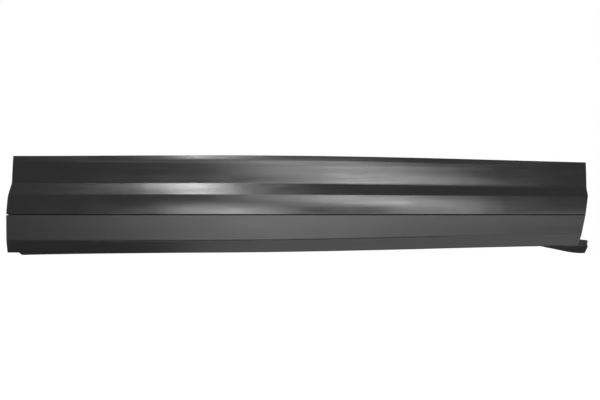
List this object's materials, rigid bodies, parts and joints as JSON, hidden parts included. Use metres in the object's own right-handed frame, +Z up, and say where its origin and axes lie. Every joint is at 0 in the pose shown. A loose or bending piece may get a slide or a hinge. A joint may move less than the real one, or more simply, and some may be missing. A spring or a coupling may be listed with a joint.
{
  "type": "car door molding",
  "caption": "Long moulded cladding panel for the lower part of a front door, with a bevelled step, a groove, a turned flange, push-in clips and foam tape behind.",
  "frame": {"origin": "where the axis of the main locating pin meets the door skin, at the height of the groove and midway along the door", "axes": "+X along the door, to the right seen from outside; +Y into the door, normal to its skin; +Z up"},
  "size_m": [1.0473, 0.046, 0.1817],
  "materials": {
    "grained_plastic": "satin moulded black plastic",
    "clip_nylon": "natural nylon",
    "seal_rubber": "soft black rubber",
    "foam_tape": "dark acrylic foam"
  },
  "bodies": {
    "root": {"molding_panel": "grained_plastic", "retaining_clip_1": "clip_nylon", "retaining_clip_2": "clip_nylon", "retaining_clip_3": "clip_nylon", "retaining_clip_4": "clip_nylon", "retaining_clip_5": "clip_nylon", "retaining_clip_6": "clip_nylon", "retaining_clip_7": "clip_nylon", "retaining_clip_8": "clip_nylon", "clip_seal_1": "seal_rubber", "clip_seal_2": "seal_rubber", "clip_seal_3": "seal_rubber", "clip_seal_4": "seal_rubber", "clip_seal_5": "seal_rubber", "clip_seal_6": "seal_rubber", "clip_seal_7": "seal_rubber", "clip_seal_8": "seal_rubber", "tape_strip_left": "foam_tape", "tape_strip_right": "foam_tape"}
  },
  "joints": []
}
